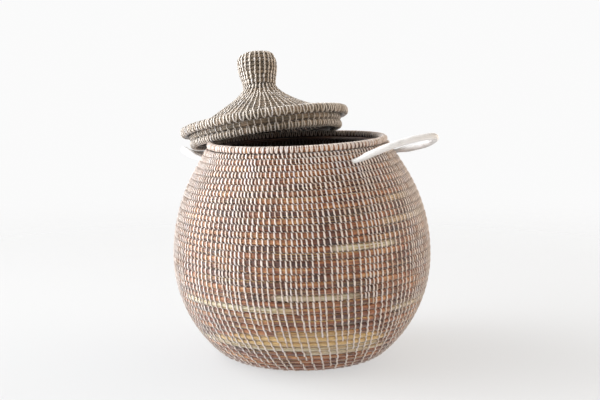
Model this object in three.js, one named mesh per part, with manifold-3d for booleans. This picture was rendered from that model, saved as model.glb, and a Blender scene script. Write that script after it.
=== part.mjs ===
// Coiled doum palm basket with a knobbed lid and two leather loop handles.
// Millimetres, +Z up. The origin is the centre of the foot, on the surface that the basket stands on.
// +X points out through the right handle. The lid lies askew across the mouth, over the left handle.

import * as THREE from 'three';
import { mergeVertices } from 'three/addons/utils/BufferGeometryUtils.js';
import Module from 'manifold-3d';

const wasm = await Module();
wasm.setup();

// Body: the outline that the coil follows
const bodyHeight = 338;
const bellyDiameter = 400;
const bellyHeight = 158;
const footDiameter = 242;
const mouthDiameter = 277;
const shoulderHeight = 289;
const footRounding = 16;
const mouthLean = 2.5;
const mouthLeanAzimuth = 30;

// Body: the coil itself, as thick as one course is high
const bodyCoil = 10;
const ribDepth = 2.6;
const ribGrooveShare = 1 / 3;
const footWear = 0.5;
const footTurnUp = 0.7;

// Handles: a leather sleeve on a palm rope, drawn through the wall and knotted inside
const handleDrop = 26;
const handleHalfAngle = 27;
const sleeveWidth = 12.4;
const sleeveThickness = 10.8;
const sleeveLeather = 1.4;
const sleeveStart = 3;
const loopSquareness = 1.5;
const rightReach = 91;
const rightLift = 17.5;
const rightTwist = 10.5;
const leftReach = 65;
const leftFreeLift = 12;
const leftTwist = 16;
const rootLift = 15;
const rootShow = 3.6;
const knotWidth = 20;
const knotLength = 10;
const knotProfile = [[0, 1], [0.6, 0.92], [1, 0.5], [0.75, 0], [0, 0]];
const ropeStubLength = 0.7;
const ropeStubLap = 1.1;
const holeCoils = 4;
const liftStep = 0.25;
const slopeStep = 1;

// Lid: knob, crown, brim and the collar that drops into the mouth
const knobDiameter = 63.6;
const knobCoil = 6.8;
const knobHeight = 56;
const knobWaistDrop = 24.2;
const knobTopFullness = 0.98;
const knobSideFullness = 0.55;
const knobFootFullness = 0.3;
const neckDiameter = 53;
const neckHeight = 57;
const crownCoil = 8.5;
const crownEdgeHeight = 2.6;
const crownNeckShare = 0.28;
const crownSpreadShare = 0.63;
const crownFlareShare = 0.056;
const brimWidth = 12.8;
const brimDepth = 13.8;
const brimDrop = 4.6;
const collarPlay = 6;
const collarCoil = 11;
const collarEdgeCoil = 11.4;
const lidRibDepth = 1.9;
const knobLean = 5.3;
const knobLeanAzimuth = 103;
const knobLeanHeight = 40;
const knobLeanStart = 110;

// Lid: how it lies on the rim in the photographed pose
const lidSlip = 99;
const lidSlipAzimuth = 152;
const lidTilt = 11.2;

// Clearances
const seatGap = 0.3;
const turnGap = 0.35;
const holeGap = 0.4;
const knotGap = 1.3;

// Facets
const bodyFacets = 32;
const lidFacets = 28;
const knobFacets = 18;
const ringSides = 8;
const loopSteps = 16;
const loopSides = 8;
const loopCheckSteps = 60;
const rootSides = 12;
const holeSides = 14;
const bodyPathSteps = 26;
const crownPathSteps = 200;
const contactSteps = 240;

const rad = THREE.MathUtils.degToRad;
const zAxis = new THREE.Vector3(0, 0, 1);

// The body's outline, as radius against height. Below the belly it is an ellipse that meets the foot,
// above it an ellipse up to the shoulder, and then the straight taper that runs tangent into the mouth.
const bellyRadius = bellyDiameter / 2;
const mouthRadius = mouthDiameter / 2;
const rimCentreHeight = bodyHeight - bodyCoil / 2;

function lowerRadius(z) {
  const footRatio = footDiameter / bellyDiameter;
  const reach = bellyHeight / Math.sqrt(1 - footRatio ** 2);
  return bellyRadius * Math.sqrt(1 - ((bellyHeight - z) / reach) ** 2);
}

function upperRadius(z) {
  const taper = (rimCentreHeight - shoulderHeight) / (shoulderHeight - bellyHeight);
  const ratio = mouthRadius / bellyRadius;
  const b = 2 * (1 + taper) - ratio ** 2;
  const a = (1 + taper) ** 2;
  const shoulderShare = (b - Math.sqrt(b ** 2 - 4 * a * (1 - ratio ** 2))) / (2 * a);
  const shoulderRadius = bellyRadius * Math.sqrt(1 - shoulderShare);
  if (z <= shoulderHeight) {
    const share = shoulderShare * ((z - bellyHeight) / (shoulderHeight - bellyHeight)) ** 2;
    return bellyRadius * Math.sqrt(1 - share);
  }
  const along = (z - shoulderHeight) / (rimCentreHeight - shoulderHeight);
  return THREE.MathUtils.lerp(shoulderRadius, mouthRadius, along);
}

function bodyRadius(z) {
  return z < bellyHeight ? lowerRadius(z) : upperRadius(z);
}

// The body's outer face as one curve, from the centre of the foot to the mouth
function makeBodyPath() {
  const path = new THREE.Path();
  const points = [];
  for (let i = 0; i <= bodyPathSteps; i += 1) {
    const z = THREE.MathUtils.lerp(footRounding * footTurnUp, rimCentreHeight, i / bodyPathSteps);
    points.push(new THREE.Vector2(bodyRadius(z), z));
  }
  const corner = footDiameter / 2;
  path.moveTo(0, 0);
  path.lineTo(corner - footRounding, 0);
  path.quadraticCurveTo(corner, 0, points[0].x, points[0].y);
  path.splineThru(points.slice(1));
  return path;
}

// Turns a face of rows into triangles, leaving out those that a clamped row has closed up
function addQuad(indices, a, b, c, d, flip) {
  for (const [p, q, r] of [[a, b, c], [a, c, d]]) {
    if (p !== q && q !== r && r !== p) {
      indices.push(...(flip ? [p, r, q] : [p, q, r]));
    }
  }
}

// A shell of spiral coil between two lengths along an outline. Its outer face carries one V groove for each
// turn, and the groove climbs by one course in a turn, as the coil does. side is 1 where the outside lies
// to the right of the outline, and -1 where it lies to the left. Nothing reaches below floorHeight, which
// leaves a flat land on each crest that would.
function coiledShell(options) {
  const { path, from, to, thickness, pitch, groove, facets, innerRings, side } = options;
  const { rowsPerCourse = 2, floorHeight = -Infinity } = options;
  const length = path.getLength();
  const startsOnAxis = from === 0;
  const positions = [];
  const indices = [];

  function addVertex(along, turn, inner) {
    const u = THREE.MathUtils.clamp(along / length, 0, 1);
    const point = path.getPointAt(u);
    const tangent = path.getTangentAt(u);
    const fade = startsOnAxis ? THREE.MathUtils.smoothstep(along, pitch / 2, pitch * 2) : 1;
    const course = along / pitch - turn;
    const fromGroove = Math.abs(course - Math.round(course));
    const grooved = groove * fade * Math.max(0, 1 - fromGroove / ribGrooveShare);
    const depth = inner ? thickness : grooved;
    const radius = Math.max(0, point.x - side * tangent.y * depth);
    const angle = 2 * Math.PI * turn;
    const height = Math.max(floorHeight, point.y + side * tangent.x * depth);
    positions.push(radius * Math.cos(angle), radius * Math.sin(angle), height);
    return positions.length / 3 - 1;
  }

  // One face: row(j, i) gives the length along the outline, and seam is how many rows a turn climbs
  function addFace(firstRow, lastRow, seam, row, inner) {
    const edges = { from: [], to: [] };
    const grid = new Map();
    function vertex(j, i) {
      if (i === facets) {
        return vertex(j + seam, 0);
      }
      const along = row(j, i);
      const edge = along <= from ? 'from' : 'to';
      if (along <= from || along >= to) {
        const slot = edge === 'from' && startsOnAxis ? 0 : i;
        edges[edge][slot] ??= addVertex(edge === 'from' ? from : to, slot / facets, inner);
        return edges[edge][slot];
      }
      const key = j * facets + i;
      if (!grid.has(key)) {
        grid.set(key, addVertex(along, i / facets, inner));
      }
      return grid.get(key);
    }
    for (let j = firstRow; j < lastRow; j += 1) {
      for (let i = 0; i < facets; i += 1) {
        const corners = [vertex(j, i), vertex(j, i + 1), vertex(j + 1, i + 1), vertex(j + 1, i)];
        addQuad(indices, ...corners, inner !== (side < 0));
      }
    }
    return edges;
  }

  const step = pitch / rowsPerCourse;
  const firstRow = Math.floor(from / step) - rowsPerCourse;
  const lastRow = Math.ceil(to / step);
  const outerRow = (j, i) => j * step + (pitch * i) / facets;
  const innerRow = (j) => THREE.MathUtils.lerp(from, to, j / innerRings);
  const outer = addFace(firstRow, lastRow, rowsPerCourse, outerRow, false);
  const inner = addFace(0, innerRings, 0, innerRow, true);
  for (let i = 0; i < facets; i += 1) {
    const n = (i + 1) % facets;
    addQuad(indices, outer.to[i], outer.to[n], inner.to[n], inner.to[i], side < 0);
    if (!startsOnAxis) {
      addQuad(indices, outer.from[n], outer.from[i], inner.from[i], inner.from[n], side < 0);
    }
  }
  const geometry = new THREE.BufferGeometry();
  geometry.setAttribute('position', new THREE.Float32BufferAttribute(positions, 3));
  geometry.setIndex(indices);
  geometry.computeVertexNormals();
  return geometry;
}

// One closed turn of coil, with an oval section
function coilRing({ radius, height, width, depth, sides, facets }) {
  const section = [];
  for (let k = 0; k <= sides; k += 1) {
    const angle = (2 * Math.PI * (k % sides)) / sides;
    const r = radius + (width / 2) * Math.cos(angle);
    section.push(new THREE.Vector2(r, height + (depth / 2) * Math.sin(angle)));
  }
  const geometry = new THREE.LatheGeometry(section, facets);
  geometry.rotateX(Math.PI / 2);
  return geometry;
}

// Cutting: closed geometries to solids and back
function toSolid(geometry) {
  const bare = geometry.clone();
  bare.deleteAttribute('normal');
  bare.deleteAttribute('uv');
  const merged = mergeVertices(bare, 1e-4);
  return new wasm.Manifold(new wasm.Mesh({
    numProp: 3,
    vertProperties: new Float32Array(merged.attributes.position.array),
    triVerts: new Uint32Array(merged.index.array),
  }));
}

function toGeometry(solid) {
  const mesh = solid.getMesh();
  const result = new THREE.BufferGeometry();
  result.setAttribute('position', new THREE.BufferAttribute(new Float32Array(mesh.vertProperties), 3));
  result.setIndex(new THREE.BufferAttribute(new Uint32Array(mesh.triVerts), 1));
  result.computeVertexNormals();
  return result;
}

function cutAway(geometry, cutters) {
  return toGeometry(cutters.reduce((solid, cutter) => solid.subtract(toSolid(cutter)), toSolid(geometry)));
}

function joined(geometries) {
  return toGeometry(geometries.map(toSolid).reduce((solid, other) => solid.add(other)));
}

// Materials
const colours = {
  palm: [0x9a6a4a, 0.75],
  rim: [0xb09a8c, 0.7],
  lidPalm: [0x8c8468, 0.75],
  lidStitch: [0xb8b0a0, 0.7],
  leather: [0xe8e6e2, 0.5],
  rope: [0xb59a6a, 0.9],
};

function addPiece(parent, name, geometry, finish) {
  const [color, roughness] = colours[finish];
  const material = new THREE.MeshStandardMaterial({ color, roughness, metalness: 0 });
  const mesh = new THREE.Mesh(geometry, material);
  mesh.name = name;
  parent.add(mesh);
  return mesh;
}

// Bends a shape by turning each point about a level axis, by a share of the whole angle
function bendGeometry(geometry, height, axis, degrees, shareAt) {
  const position = geometry.attributes.position;
  const point = new THREE.Vector3();
  const centre = new THREE.Vector3(0, 0, height);
  for (let i = 0; i < position.count; i += 1) {
    point.fromBufferAttribute(position, i);
    const angle = rad(degrees) * shareAt(point);
    point.sub(centre).applyAxisAngle(axis, angle).add(centre);
    position.setXYZ(i, point.x, point.y, point.z);
  }
  geometry.computeVertexNormals();
  return geometry;
}

// The mouth leans: everything from the handle holes up turns as one about the belly's centre,
// and the wall below bends to follow it.
const leanAxis = new THREE.Vector3(Math.sin(rad(mouthLeanAzimuth)), -Math.cos(rad(mouthLeanAzimuth)), 0);
const leanTop = bodyHeight - handleDrop - 2 * bodyCoil;

function wallLeanShare(point) {
  return THREE.MathUtils.smoothstep(point.z, bellyHeight, leanTop);
}

const basket = new THREE.Group();
const mouthFrame = new THREE.Group();
mouthFrame.position.z = bellyHeight;
mouthFrame.quaternion.setFromAxisAngle(leanAxis, rad(mouthLean));
basket.add(mouthFrame);
const mouth = new THREE.Group();
mouth.position.z = -bellyHeight;
mouthFrame.add(mouth);

// Handle roots: each strand comes out of the wall along the line on which the loop leaves it
const rootHeight = bodyHeight - handleDrop;
const rootRadius = bodyRadius(rootHeight);
const rootSlope = Math.atan2(rootRadius - bodyRadius(rootHeight + slopeStep), slopeStep);
const ropeWidth = sleeveWidth - 2 * (sleeveLeather + seatGap);
const ropeThickness = sleeveThickness - 2 * (sleeveLeather + seatGap);
const shankRadius = sleeveThickness / 2;
const standOff = rootShow + turnGap + ropeThickness / 2;
const chordHalf = rootRadius * Math.sin(rad(handleHalfAngle));
const chordDistance = rootRadius * Math.cos(rad(handleHalfAngle)) + standOff * Math.cos(rad(rootLift));
const hingeHeight = rootHeight + standOff * Math.sin(rad(rootLift));

const handleSides = [
  { name: 'right', azimuth: 0, reach: rightReach, twist: rightTwist },
  { name: 'left', azimuth: 180, reach: leftReach, twist: -leftTwist },
];
const rootEnds = [
  { name: 'front', turn: -1 },
  { name: 'back', turn: 1 },
];

function direction(azimuth, elevation) {
  const level = Math.cos(elevation);
  return new THREE.Vector3(level * Math.cos(azimuth), level * Math.sin(azimuth), Math.sin(elevation));
}

// The root's own lines: its place on the wall's outer face, the way its strand leaves, the wall's normal
function rootLines(side, end) {
  const turn = side.azimuth === 0 ? end.turn : -end.turn;
  const azimuth = rad(side.azimuth + turn * handleHalfAngle);
  const place = direction(azimuth, 0).multiplyScalar(rootRadius).setZ(rootHeight);
  const leaves = direction(rad(side.azimuth), rad(rootLift));
  return { place, leaves, normal: direction(azimuth, rootSlope) };
}

// Stands a shape that was drawn along +Z at a point, along a line
function standAlong(geometry, point, line) {
  const turned = new THREE.Quaternion().setFromUnitVectors(zAxis, line);
  return geometry.applyQuaternion(turned).translate(point.x, point.y, point.z);
}

// Base and wall: one coil wound from the centre of the foot, parted where the foot turns up
const bodyPath = makeBodyPath();
const bodyLength = bodyPath.getLength();
const bodyCourses = Math.round(bodyLength / bodyCoil);
const bodyPitch = bodyLength / bodyCourses;
const baseCourses = Math.round((footDiameter / 2 - footRounding) / bodyPitch);
const baseEnd = baseCourses * bodyPitch;
const wallEnd = bodyLength - bodyCoil / 2 - seatGap;

function bodyShell(from, to, innerRings, rowsPerCourse) {
  const geometry = coiledShell({
    path: bodyPath,
    from,
    to,
    thickness: bodyCoil,
    pitch: bodyPitch,
    groove: ribDepth,
    facets: bodyFacets,
    innerRings,
    side: 1,
    rowsPerCourse,
    floorHeight: footWear,
  });
  return geometry.translate(0, 0, -footWear);
}

addPiece(basket, 'base_coil', bodyShell(0, baseEnd - seatGap / 2, 3, 3), 'palm');

const holes = [];
for (const side of handleSides) {
  for (const end of rootEnds) {
    const holeRadius = (shankRadius + holeGap) / Math.cos(Math.PI / holeSides);
    const hole = new THREE.CylinderGeometry(holeRadius, holeRadius, holeCoils * bodyCoil, holeSides);
    const { place, leaves } = rootLines(side, end);
    holes.push(standAlong(hole.rotateX(Math.PI / 2), place, leaves));
  }
}
const wallGeometry = cutAway(bodyShell(baseEnd + seatGap / 2, wallEnd, 11, 3), holes);
bendGeometry(wallGeometry, bellyHeight, leanAxis, mouthLean, wallLeanShare);
addPiece(basket, 'wall_coil', wallGeometry, 'palm');

// Rim: the last turn of the coil, closed on itself
const mouthEnd = bodyPath.getPointAt(1);
const mouthTangent = bodyPath.getTangentAt(1);
const rimRadius = mouthEnd.x - (mouthTangent.y * bodyCoil) / 2;
const rimHeight = mouthEnd.y + (mouthTangent.x * bodyCoil) / 2 + bodyCoil / 2 * Math.abs(mouthTangent.x);
const rimRing = { radius: rimRadius, height: rimHeight - footWear, width: bodyCoil, depth: bodyCoil };
addPiece(mouth, 'rim_coil', coilRing({ ...rimRing, sides: ringSides, facets: bodyFacets }), 'rim');

// Lid outline: from the top of the knob down to the crown's edge, heights from the brim's plane
const mouthInnerRadius = rimRadius - bodyCoil / 2;
const collarOuterRadius = mouthInnerRadius - collarPlay;
const collarRadius = collarOuterRadius - collarCoil / 2;
const crownEdgeRadius = collarOuterRadius - seatGap;
const knobRadius = knobDiameter / 2;
const neckRadius = neckDiameter / 2;
const knobTop = neckHeight + knobHeight;
const knobWaist = knobTop - knobWaistDrop;

function makeKnobPath() {
  const path = new THREE.Path();
  const [top, side, foot] = [knobTopFullness, knobSideFullness, knobFootFullness].map((f) => f * knobRadius);
  path.moveTo(0, knobTop);
  path.bezierCurveTo(top, knobTop, knobRadius, knobWaist + side, knobRadius, knobWaist);
  path.bezierCurveTo(knobRadius, knobWaist - foot, neckRadius, neckHeight + foot, neckRadius, neckHeight);
  return path;
}

function makeCrownPath() {
  const path = new THREE.Path();
  const span = crownEdgeRadius - neckRadius;
  const drop = neckHeight - crownEdgeHeight;
  path.moveTo(neckRadius, neckHeight);
  const first = [neckRadius, neckHeight - drop * crownNeckShare];
  const second = [neckRadius + span * crownSpreadShare, crownEdgeHeight + drop * crownFlareShare];
  path.bezierCurveTo(...first, ...second, crownEdgeRadius, crownEdgeHeight);
  return path;
}

const lid = new THREE.Group();
mouth.add(lid);

const knobPath = makeKnobPath();
const crownPath = makeCrownPath();
const knobShell = coiledShell({
  path: knobPath,
  from: 0,
  to: knobPath.getLength() - seatGap,
  thickness: knobCoil,
  pitch: knobPath.getLength() / Math.round(knobPath.getLength() / knobCoil),
  groove: lidRibDepth,
  facets: knobFacets,
  innerRings: 7,
  side: -1,
});

// The knob leans: it and the crown's middle turn as one, and the crown's skirt bends to follow them
const knobLeanAxis = new THREE.Vector3(-Math.sin(rad(knobLeanAzimuth)), Math.cos(rad(knobLeanAzimuth)), 0);

function knobLeanShare(point) {
  const edge = collarRadius - collarCoil / 2;
  return 1 - THREE.MathUtils.smoothstep(Math.hypot(point.x, point.y), knobLeanStart / 2, edge);
}

bendGeometry(knobShell, knobLeanHeight, knobLeanAxis, knobLean, knobLeanShare);
addPiece(lid, 'lid_knob', knobShell, 'lidPalm');
const crownShell = coiledShell({
  path: crownPath,
  from: seatGap,
  to: crownPath.getLength(),
  thickness: crownCoil,
  pitch: crownPath.getLength() / Math.round(crownPath.getLength() / crownCoil),
  groove: lidRibDepth,
  facets: lidFacets,
  innerRings: 6,
  side: -1,
});
bendGeometry(crownShell, knobLeanHeight, knobLeanAxis, knobLean, knobLeanShare);
addPiece(lid, 'lid_crown', crownShell, 'lidPalm');

// Brim and collar: a turn of coil sewn round the crown's edge, and two that hang under it
function crownHeightAt(radius) {
  const points = crownPath.getSpacedPoints(crownPathSteps);
  return points.find((point) => point.x >= radius).y;
}

const brimRadius = collarOuterRadius + seatGap + brimWidth / 2;
const brimHeight = crownEdgeHeight - brimDrop;
const brimRing = { radius: brimRadius, height: brimHeight, width: brimWidth, depth: brimDepth };
const lidRings = [{ name: 'lid_brim', ...brimRing }];
const crownLevel = crownPath.getTangentAt(1).x;
let nextTop = crownHeightAt(collarRadius) - (crownCoil + seatGap) / crownLevel;
for (const [name, coil] of [['middle', collarCoil], ['edge', collarEdgeCoil]]) {
  const height = nextTop - coil / 2;
  lidRings.push({ name: `lid_collar_${name}`, radius: collarRadius, height, width: coil, depth: coil });
  nextTop -= coil + seatGap;
}
for (const ring of lidRings) {
  const finish = ring.name === 'lid_collar_middle' ? 'lidPalm' : 'lidStitch';
  addPiece(lid, ring.name, coilRing({ ...ring, sides: ringSides, facets: lidFacets }), finish);
}

// Where the lid lies: slid off towards one side and tilted down that way, until it rests on the rim
const slipDirection = new THREE.Vector3(Math.cos(rad(lidSlipAzimuth)), Math.sin(rad(lidSlipAzimuth)), 0);
const tiltAxis = new THREE.Vector3().crossVectors(zAxis, slipDirection);
lid.quaternion.setFromAxisAngle(tiltAxis, rad(lidTilt));
lid.position.copy(slipDirection).multiplyScalar(lidSlip);

// Points round the middle of a ring, in the frame that its group gives
function ringPoints(ring, group, count) {
  const points = [];
  for (let i = 0; i < count; i += 1) {
    const angle = (2 * Math.PI * i) / count;
    const point = direction(angle, 0).multiplyScalar(ring.radius).setZ(ring.height);
    if (group) {
      point.applyQuaternion(group.quaternion).add(group.position);
    }
    points.push(point);
  }
  return points;
}

const rimPoints = ringPoints(rimRing, null, contactSteps);
let restHeight = -Infinity;
for (const ring of lidRings) {
  const apart = Math.max(ring.width, ring.depth) / 2 + bodyCoil / 2 + seatGap;
  for (const point of ringPoints(ring, lid, contactSteps)) {
    for (const seat of rimPoints) {
      const across = Math.hypot(point.x - seat.x, point.y - seat.y);
      if (across < apart) {
        restHeight = Math.max(restHeight, seat.z - point.z + Math.sqrt(apart ** 2 - across ** 2));
      }
    }
  }
}
lid.position.z = restHeight;

// Handles: the sleeve's centre line, from one strand to the other, in the frame of its hinge line
class LoopCurve extends THREE.Curve {
  constructor(side) {
    super();
    this.reach = side.reach;
    this.twist = Math.tan(rad(side.twist));
    this.first = Math.asin((sleeveStart / side.reach) ** (loopSquareness / 2));
  }

  getPoint(t, target = new THREE.Vector3()) {
    const angle = THREE.MathUtils.lerp(this.first, Math.PI - this.first, t);
    const cos = Math.cos(angle);
    const across = -Math.sign(cos) * Math.abs(cos) ** (2 / loopSquareness);
    const along = Math.abs(Math.sin(angle)) ** (2 / loopSquareness);
    const y = chordHalf * across;
    return target.set(this.reach * along, y, -y * along * this.twist);
  }
}

function ovalSection(width, thickness) {
  const points = [];
  for (let k = 0; k < loopSides; k += 1) {
    const angle = (2 * Math.PI * k) / loopSides;
    points.push(new THREE.Vector2((thickness / 2) * Math.cos(angle), (width / 2) * Math.sin(angle)));
  }
  return points;
}

function makeSleeve(side) {
  const shape = new THREE.Shape(ovalSection(sleeveWidth, sleeveThickness));
  const bore = ovalSection(sleeveWidth - 2 * sleeveLeather, sleeveThickness - 2 * sleeveLeather);
  shape.holes.push(new THREE.Path(bore.reverse()));
  return new THREE.ExtrudeGeometry(shape, { steps: loopSteps, extrudePath: new LoopCurve(side) });
}

// The rope runs on to the hinge line, where it is rounded so that it can turn against its root
function makeRope(side) {
  const shape = new THREE.Shape(ovalSection(ropeWidth, ropeThickness));
  const curve = new LoopCurve(side);
  const pieces = [new THREE.ExtrudeGeometry(shape, { steps: loopSteps, extrudePath: curve })];
  const radius = ropeThickness / 2;
  for (const t of [0, 1]) {
    const strand = curve.getPoint(t);
    const hingePoint = new THREE.Vector3(0, Math.sign(strand.y) * chordHalf, 0);
    const line = strand.clone().sub(hingePoint);
    const length = line.length() * ropeStubLap;
    const stub = new THREE.CylinderGeometry(radius, radius, length, loopSides);
    stub.rotateX(Math.PI / 2).translate(0, 0, length / 2);
    pieces.push(standAlong(stub, hingePoint, line.normalize()));
    const round = new THREE.CylinderGeometry(radius, radius, ropeWidth * ropeStubLength, loopSides);
    pieces.push(round.translate(hingePoint.x, hingePoint.y, hingePoint.z));
  }
  return joined(pieces);
}

function makeHinge(side, lift) {
  const hinge = new THREE.Group();
  hinge.position.set(chordDistance * Math.cos(rad(side.azimuth)), 0, hingeHeight);
  hinge.rotation.set(0, -rad(lift), rad(side.azimuth), 'ZYX');
  hinge.updateMatrix();
  return hinge;
}

// The left loop lies under the lid's collar, so it is pressed down from its free lift until it is clear
function loopClearsLid(side, lift) {
  const hinge = makeHinge(side, lift);
  const strand = new LoopCurve(side).getSpacedPoints(loopCheckSteps);
  strand.forEach((point) => point.applyMatrix4(hinge.matrix));
  return lidRings.every((ring) => {
    const apart = Math.max(ring.width, ring.depth) / 2 + sleeveWidth / 2 + seatGap;
    const turns = ringPoints(ring, lid, contactSteps);
    return turns.every((turn) => strand.every((point) => point.distanceTo(turn) > apart));
  });
}

let leftLift = leftFreeLift;
while (!loopClearsLid(handleSides[1], leftLift)) {
  leftLift -= liftStep;
}

// A root is the strand's end, drawn through the wall, with the knot inside that holds it
function makeRoot(side, end) {
  const { place, leaves, normal } = rootLines(side, end);
  const depth = (bodyCoil + knotGap) / leaves.dot(normal);
  const length = rootShow + depth + knotLength / 2;
  const shank = new THREE.CylinderGeometry(shankRadius, shankRadius, length, rootSides);
  shank.rotateX(Math.PI / 2).translate(0, 0, rootShow - length / 2);
  const profile = knotProfile.map(([r, z]) => new THREE.Vector2((r * knotWidth) / 2, -z * knotLength));
  const knot = new THREE.LatheGeometry(profile, rootSides);
  const seat = place.clone().addScaledVector(leaves, -depth);
  return joined([standAlong(shank, place, leaves), standAlong(knot.rotateX(Math.PI / 2), seat, normal)]);
}

for (const side of handleSides) {
  const hinge = makeHinge(side, side.name === 'left' ? leftLift : rightLift);
  addPiece(hinge, `handle_${side.name}_sleeve`, makeSleeve(side), 'leather');
  addPiece(hinge, `handle_${side.name}_rope`, makeRope(side), 'rope');
  mouth.add(hinge);
  for (const end of rootEnds) {
    addPiece(mouth, `handle_${side.name}_root_${end.name}`, makeRoot(side, end), 'leather');
  }
}

export default basket;
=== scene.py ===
import math

import bpy
import numpy as np
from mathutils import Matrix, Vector


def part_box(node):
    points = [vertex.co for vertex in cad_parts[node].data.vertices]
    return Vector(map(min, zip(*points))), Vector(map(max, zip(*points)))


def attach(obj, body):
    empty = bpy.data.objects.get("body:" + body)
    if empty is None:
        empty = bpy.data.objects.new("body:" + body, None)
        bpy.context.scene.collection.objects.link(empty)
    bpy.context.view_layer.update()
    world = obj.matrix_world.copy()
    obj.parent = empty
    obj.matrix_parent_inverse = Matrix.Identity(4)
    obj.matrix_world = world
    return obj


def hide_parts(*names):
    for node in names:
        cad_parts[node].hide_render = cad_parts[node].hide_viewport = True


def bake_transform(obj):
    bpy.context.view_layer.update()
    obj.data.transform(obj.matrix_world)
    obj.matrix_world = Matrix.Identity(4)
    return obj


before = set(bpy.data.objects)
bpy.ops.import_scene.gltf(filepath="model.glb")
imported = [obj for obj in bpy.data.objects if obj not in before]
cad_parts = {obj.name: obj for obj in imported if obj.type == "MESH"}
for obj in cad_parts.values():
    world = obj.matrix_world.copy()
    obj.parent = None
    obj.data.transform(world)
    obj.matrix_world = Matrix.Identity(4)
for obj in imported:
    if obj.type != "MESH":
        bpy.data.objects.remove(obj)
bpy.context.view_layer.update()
bpy.ops.object.select_all(action="DESELECT")


# Base and wall
# One bundle of doum palm, as thick as a finger, is wound from the centre of the foot up to the mouth.
# Narrow white palm strips sew each course to the one below, so the stitches stand in leaning columns.

# Sizes are in millimetres until a point is laid in the frame
MM = 0.001
TURN = 2 * math.pi
body_height = 338
belly_radius = 200
belly_height = 158
foot_radius = 121
mouth_radius = 138.5
shoulder_height = 289
foot_rounding = 16
foot_turn_up = 0.7
mouth_lean = math.radians(2.5)
mouth_lean_azimuth = math.radians(30)
body_coil = 10
foot_wear = 0.5
handle_drop = 26
seat_gap = 0.3
rim_centre_height = body_height - body_coil / 2


def body_radius(z):
    """Radius of the body's outer face at a height: two ellipses and the straight taper into the mouth."""
    reach = belly_height / math.sqrt(1 - (foot_radius / belly_radius) ** 2)
    lower = belly_radius * np.sqrt(1 - ((belly_height - z) / reach) ** 2)
    taper = (rim_centre_height - shoulder_height) / (shoulder_height - belly_height)
    ratio = mouth_radius / belly_radius
    b = 2 * (1 + taper) - ratio**2
    a = (1 + taper) ** 2
    shoulder_share = (b - math.sqrt(b**2 - 4 * a * (1 - ratio**2))) / (2 * a)
    rise = np.minimum((z - belly_height) / (shoulder_height - belly_height), 1)
    upper = belly_radius * np.sqrt(1 - shoulder_share * rise**2)
    shoulder_radius = belly_radius * math.sqrt(1 - shoulder_share)
    along = np.clip((z - shoulder_height) / (rim_centre_height - shoulder_height), 0, 1)
    upper = np.where(z > shoulder_height, shoulder_radius + (mouth_radius - shoulder_radius) * along, upper)
    return np.where(z < belly_height, lower, upper)


def bezier(points, count=80):
    """Points along a Bezier curve of any degree."""
    t = np.linspace(0, 1, count)[:, None]
    level = [np.array(p, float) + 0 * t for p in points]
    while len(level) > 1:
        level = [a + (b - a) * t for a, b in zip(level, level[1:])]
    return level[0]


class Outline:
    """A line of radius and height that a coil follows. The coil's outer face is on the line's right where
    side is 1, and on its left where side is -1."""

    def __init__(self, points, side):
        self.points = np.array(points)
        steps = np.linalg.norm(np.diff(self.points, axis=0), axis=1)
        self.lengths = np.concatenate([[0], np.cumsum(steps)])
        self.length = self.lengths[-1]
        self.tangents = np.gradient(self.points, self.lengths, axis=0)
        self.side = side

    def at(self, along, depth):
        """Radius and height of points that lie a depth under the outer face."""
        along = np.clip(along, 0, self.length)
        r, z, tr, tz = (
            np.interp(along, self.lengths, column) for column in (*self.points.T, *self.tangents.T)
        )
        return np.maximum(r - self.side * tz * depth, 0), z + self.side * tr * depth


def rotated(points, centre, axis, angle):
    """Points turned about a line, each by its own angle."""
    axis = np.array(axis, float)
    arms = points - np.array(centre, float)
    angle = np.broadcast_to(angle, len(points))[:, None]
    along = (arms @ axis)[:, None] * axis
    return along + (arms - along) * np.cos(angle) + np.cross(axis, arms) * np.sin(angle) + centre


def smooth(value, low, high):
    """Goes from 0 at the low value to 1 at the high one, gently at both ends."""
    share = np.clip((value - low) / (high - low), 0, 1)
    return share * share * (3 - 2 * share)


turn_up = foot_rounding * foot_turn_up
foot_flat = foot_radius - foot_rounding
flat_count, rounded_count, wall_count = 60, 24, 400
flat_points = np.stack([np.linspace(0, foot_flat, flat_count), np.zeros(flat_count)], axis=1)
rounded_points = bezier([(foot_flat, 0), (foot_radius, 0), (body_radius(turn_up), turn_up)], rounded_count)
heights = np.linspace(turn_up, rim_centre_height, wall_count)
wall_points = np.stack([body_radius(heights), heights], axis=1)
body_outline = Outline(np.concatenate([flat_points, rounded_points[1:], wall_points[1:]]), side=1)
lean_axis = (math.sin(mouth_lean_azimuth), -math.cos(mouth_lean_azimuth), 0)
belly_centre = (0, 0, belly_height)
lean_top = body_height - handle_drop - 2 * body_coil


def stand_body(points):
    """Flattens the foot where it has worn, leans the upper wall, and goes to metres."""
    points = points.copy()
    points[:, 2] = np.maximum(points[:, 2], foot_wear) - foot_wear
    lean = mouth_lean * smooth(points[:, 2], belly_height, lean_top)
    return rotated(points, belly_centre, lean_axis, lean) * MM


def stand_mouth(points):
    """Leans everything at the mouth as one, and goes to metres."""
    return rotated(points, belly_centre, lean_axis, mouth_lean) * MM


# How square a bundle's section is, how far it is pressed into the next course, how far it stays under the
# solid's face, and the share of a turn by which the last thin end falls short
SQUARENESS = 2.4
PRESSED = 1.03
SHALLOW = 0.4
LAST_WEDGE = 0.06


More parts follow.
